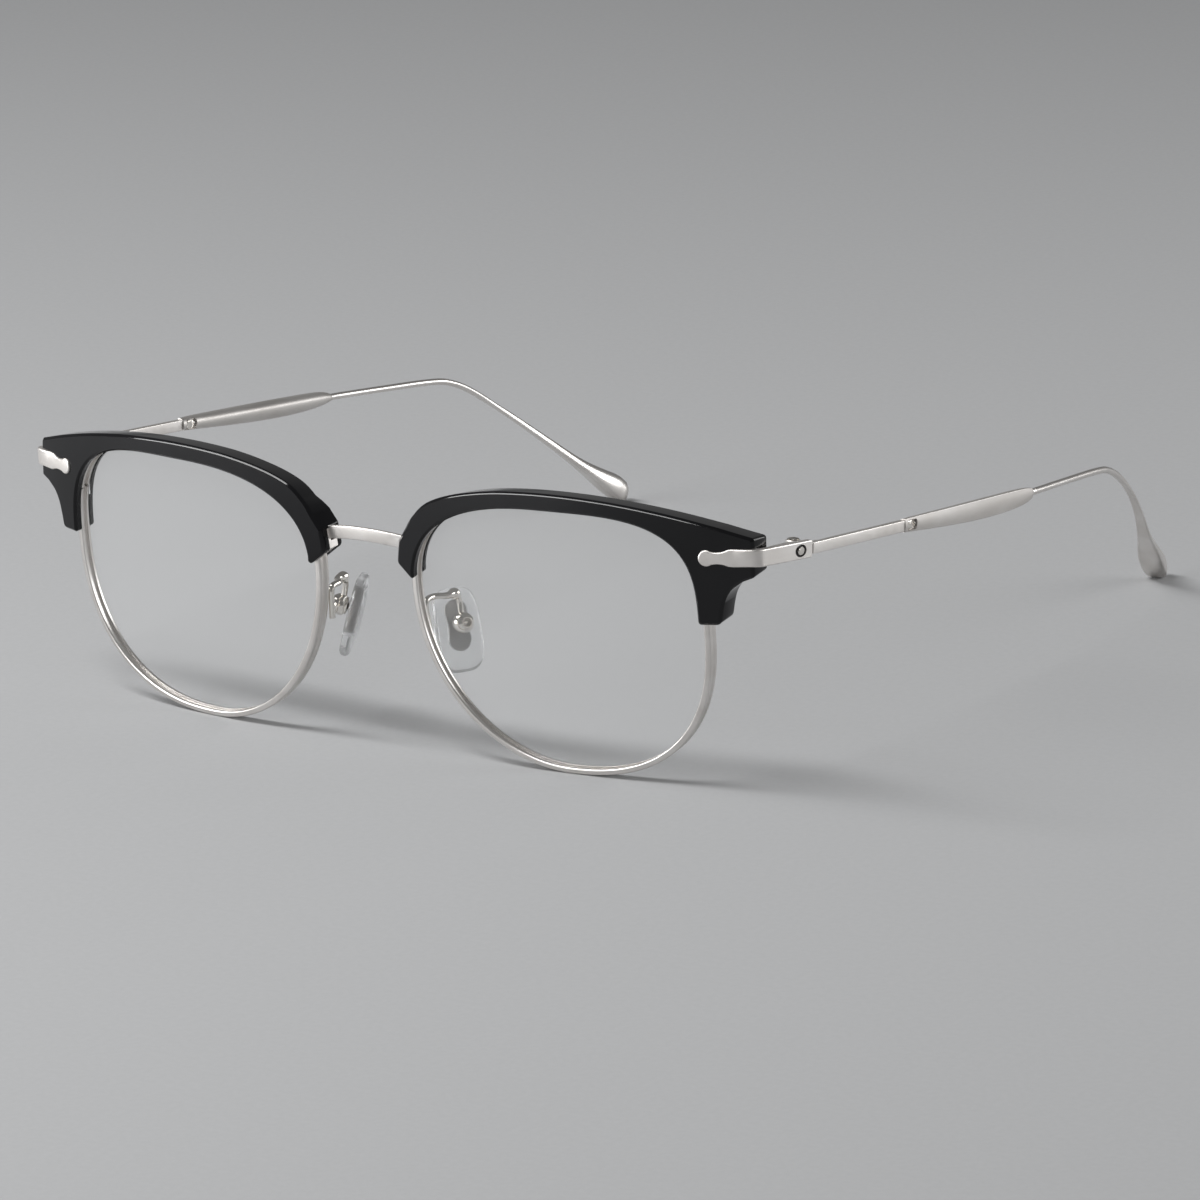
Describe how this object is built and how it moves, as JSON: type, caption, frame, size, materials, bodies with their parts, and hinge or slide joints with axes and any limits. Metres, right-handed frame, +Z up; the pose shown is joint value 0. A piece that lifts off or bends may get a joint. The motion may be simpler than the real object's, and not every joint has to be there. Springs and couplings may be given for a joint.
{
  "type": "browline glasses",
  "caption": "Browline spectacles: black brow bars over full metal rims with clear lenses, an arched bridge, adjustable clear nose pads and folding wire temples with drop tips.",
  "frame": {"origin": "on the surface that the glasses stand on, under the centre of their bounding box", "axes": "-Y out of the front of the lenses, +Y back along the open temples, +X to the wearer's left, +Z up"},
  "size_m": [0.1426, 0.1475, 0.0459],
  "materials": {
    "silver": "satin, fine brushed nickel silver",
    "polished": "polished nickel silver",
    "pad_metal": "matte, warm grey",
    "brow": "black cellulose acetate, polished",
    "lens": "clear demo lens with an anti-reflection coating",
    "clear_pad": "clear silicone"
  },
  "bodies": {
    "front": {"bridge": "silver", "eyewire_left": "silver", "eyewire_right": "silver", "lens_left": "lens", "lens_right": "lens", "brow_left": "brow", "brow_right": "brow", "end_strap_left": "silver", "end_strap_right": "silver", "side_disc_left": "polished", "side_disc_right": "polished", "rim_lock_left": "silver", "rim_lock_right": "silver", "rim_lock_screw_left": "polished", "rim_lock_screw_right": "polished", "brow_screw_left": "polished", "brow_screw_right": "polished", "hinge_screw_left": "polished", "hinge_screw_right": "polished", "pad_arm_left": "polished", "pad_arm_right": "polished", "pad_box_left": "polished", "pad_box_right": "polished", "pad_screw_left": "polished", "pad_screw_right": "polished"},
    "temple_left": {"temple_bar_left": "silver", "temple_sleeve_left": "silver", "sleeve_key_left": "polished", "ear_wire_left": "silver"},
    "temple_right": {"temple_bar_right": "silver", "temple_sleeve_right": "silver", "sleeve_key_right": "polished", "ear_wire_right": "silver"},
    "pad_left": {"pad_plate_left": "pad_metal", "nose_pad_left": "clear_pad"},
    "pad_right": {"pad_plate_right": "pad_metal", "nose_pad_right": "clear_pad"}
  },
  "joints": [
    {"name": "temple_left_fold", "type": "hinge", "parent": "front", "child": "temple_left", "pos_m": [0.06857, -0.05462, 0.03702], "axis": [0, 0.0976, 0.9952], "range_deg": [0, 85]},
    {"name": "temple_right_fold", "type": "hinge", "parent": "front", "child": "temple_right", "pos_m": [-0.06857, -0.05462, 0.03702], "axis": [0, -0.0976, -0.9952], "range_deg": [0, 81]},
    {"name": "pad_left_rock", "type": "hinge", "parent": "front", "child": "pad_left", "pos_m": [0.0118, -0.06299, 0.0201], "axis": [0.4695, 0.8829, 0], "range_deg": [-8, 8]},
    {"name": "pad_right_rock", "type": "hinge", "parent": "front", "child": "pad_right", "pos_m": [-0.0118, -0.06299, 0.0201], "axis": [-0.4695, 0.8829, 0], "range_deg": [-8, 8]}
  ]
}
